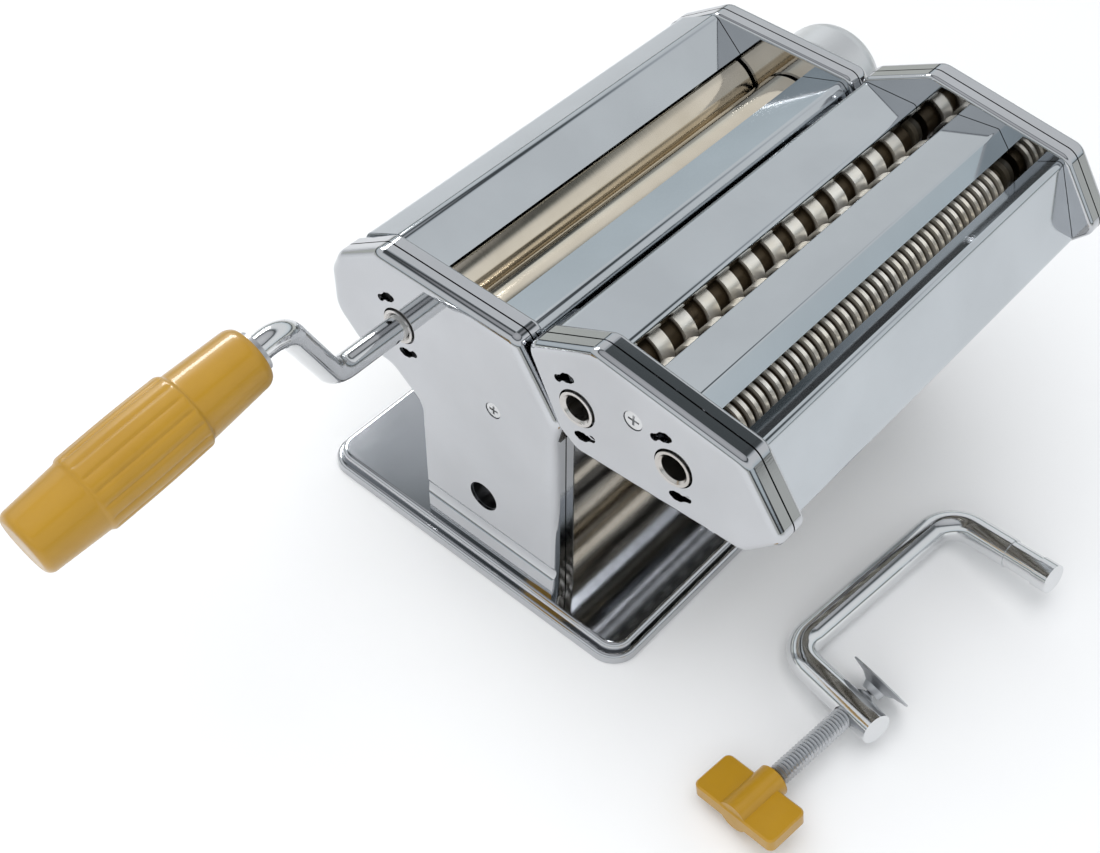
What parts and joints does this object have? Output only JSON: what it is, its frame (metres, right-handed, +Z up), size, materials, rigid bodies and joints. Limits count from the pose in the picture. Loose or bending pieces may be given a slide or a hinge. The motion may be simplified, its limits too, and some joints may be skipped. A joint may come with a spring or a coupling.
{
  "type": "pasta roller machine",
  "caption": "Hand-cranked dough roller on a flat base, with a clip-on twin cutter head, a bent crank with a turning grip, a thickness dial and a loose screw clamp.",
  "frame": {"origin": "centre of the underside of the base, on the surface it stands on", "axes": "+X along the rollers towards the thickness dial, -Y towards the cutter head, +Z up"},
  "size_m": [0.3918, 0.2605, 0.1582],
  "materials": {
    "chrome_sheet": "mirror polished plated steel sheet",
    "bright_plate": "bright folded steel plate",
    "zinc_steel": "zinc plated steel",
    "screw_steel": "bright nickel plated",
    "spring_steel": "oiled spring steel",
    "roller_nickel": "polished nickel plated steel",
    "cutter_nickel": "nickel plated, bright edges",
    "socket_steel": "turned steel",
    "gear_steel": "sintered steel",
    "bush_nylon": "natural nylon",
    "dial_aluminium": "satin",
    "yellow_plastic": "glossy ochre yellow",
    "knob_black": "metallised grey",
    "clamp_chrome": "plated bar",
    "clamp_steel": "zinc plated, slightly dull",
    "rubber_feet": "matt"
  },
  "bodies": {
    "frame": {"base_pan": "chrome_sheet", "base_underplate": "zinc_steel", "base_screws": "zinc_steel", "foot_pads": "rubber_feet", "base_angles": "zinc_steel", "side_cover_crank": "chrome_sheet", "side_cover_knob": "chrome_sheet", "side_frame_crank": "chrome_sheet", "side_frame_knob": "chrome_sheet", "cover_posts": "zinc_steel", "cover_screws": "screw_steel", "clamp_sleeves": "zinc_steel", "tie_rods": "zinc_steel", "hopper_front_plate": "bright_plate", "hopper_rear_plate": "bright_plate", "roller_scrapers": "zinc_steel", "roller_bushes": "bush_nylon", "mount_rails": "zinc_steel", "regulator_dial": "dial_aluminium"},
    "rear_roller": {"rear_roller": "roller_nickel", "main_socket": "socket_steel", "rear_gear": "gear_steel"},
    "crank": {"crank_rod": "clamp_chrome", "grip_stop_ring": "zinc_steel"},
    "grip": {"crank_grip": "yellow_plastic"},
    "carriage": {"carriage_blocks": "bush_nylon", "regulator_yoke": "zinc_steel"},
    "front_roller": {"front_roller": "roller_nickel", "front_gear": "gear_steel"},
    "knob": {"regulator_knob": "knob_black", "regulator_cam": "zinc_steel", "index_pin": "zinc_steel", "regulator_spring": "spring_steel"},
    "cutter_head": {"head_cover_crank": "chrome_sheet", "head_cover_knob": "chrome_sheet", "head_frame_crank": "chrome_sheet", "head_frame_knob": "chrome_sheet", "head_bushes": "bush_nylon", "head_posts": "zinc_steel", "head_screws": "screw_steel", "head_rear_plate": "bright_plate", "head_mid_plate": "bright_plate", "head_front_plate": "bright_plate", "wide_combs": "bush_nylon", "narrow_combs": "bush_nylon", "head_channels": "zinc_steel"},
    "wide_rear": {"wide_roll_rear": "cutter_nickel", "wide_socket": "socket_steel", "wide_gear_rear": "gear_steel"},
    "wide_front": {"wide_roll_front": "cutter_nickel", "wide_gear_front": "gear_steel"},
    "narrow_rear": {"narrow_roll_rear": "cutter_nickel", "narrow_socket": "socket_steel", "narrow_gear_rear": "gear_steel"},
    "narrow_front": {"narrow_roll_front": "cutter_nickel", "narrow_gear_front": "gear_steel"},
    "clamp_bow": {"clamp_bow": "clamp_chrome"},
    "clamp_pad": {"clamp_pad": "clamp_steel"},
    "clamp_screw": {"clamp_screw": "clamp_steel", "clamp_wing_knob": "yellow_plastic"}
  },
  "joints": [
    {"name": "roller_turn", "type": "hinge", "parent": "frame", "child": "rear_roller", "pos_m": [0, 0.0321, 0.1056], "axis": [1, 0, 0], "continuous": true},
    {"name": "crank_pull", "type": "slide", "parent": "rear_roller", "child": "crank", "axis": [-1, 0, 0], "range_m": [0, 0.03]},
    {"name": "grip_spin", "type": "hinge", "parent": "crank", "child": "grip", "pos_m": [-0.15746, 0.02529, 0.14958], "axis": [-0.9866, 0.025, -0.1614], "continuous": true},
    {"name": "knob_turn", "type": "hinge", "parent": "frame", "child": "knob", "pos_m": [0.1, 0.001, 0.109], "axis": [1, 0, 0], "range_deg": [-90, 90]},
    {"name": "carriage_slide", "type": "slide", "parent": "frame", "child": "carriage", "axis": [0, 1, 0], "range_m": [-0.001, 0.001]},
    {"name": "front_roller_turn", "type": "hinge", "parent": "carriage", "child": "front_roller", "pos_m": [0, 0.001, 0.109], "axis": [1, 0, 0], "continuous": true},
    {"name": "head_slide", "type": "slide", "parent": "frame", "child": "cutter_head", "axis": [0, 0.5519, 0.8339], "range_m": [0, 0.045]},
    {"name": "wide_turn", "type": "hinge", "parent": "cutter_head", "child": "wide_rear", "pos_m": [0, -0.0505, 0.123], "axis": [1, 0, 0], "continuous": true},
    {"name": "wide_front_turn", "type": "hinge", "parent": "cutter_head", "child": "wide_front", "pos_m": [0, -0.069, 0.123], "axis": [1, 0, 0], "continuous": true},
    {"name": "narrow_turn", "type": "hinge", "parent": "cutter_head", "child": "narrow_rear", "pos_m": [0, -0.0902, 0.1245], "axis": [1, 0, 0], "continuous": true},
    {"name": "narrow_front_turn", "type": "hinge", "parent": "cutter_head", "child": "narrow_front", "pos_m": [0, -0.1087, 0.1245], "axis": [1, 0, 0], "continuous": true},
    {"name": "clamp_lift", "type": "slide", "parent": "frame", "child": "clamp_bow", "axis": [0, 0, 1], "range_m": [0, 0.05]},
    {"name": "clamp_feed", "type": "slide", "parent": "clamp_bow", "child": "clamp_pad", "axis": [0.9945, -0.1029, 0.0182], "range_m": [0, 0.03]},
    {"name": "clamp_turn", "type": "hinge", "parent": "clamp_pad", "child": "clamp_screw", "pos_m": [-0.05609, -0.15626, 0.01221], "axis": [0.9945, -0.1029, 0.0182], "range_deg": [0, 7200]}
  ],
  "couplings": [
    {"joint": "front_roller_turn", "follows": "roller_turn", "ratio": -1},
    {"joint": "knob_turn", "follows": "carriage_slide", "rad_per_m": -1570.8},
    {"joint": "wide_front_turn", "follows": "wide_turn", "ratio": -1},
    {"joint": "narrow_front_turn", "follows": "narrow_turn", "ratio": -1},
    {"joint": "clamp_turn", "follows": "clamp_feed", "rad_per_m": 4188.8}
  ]
}
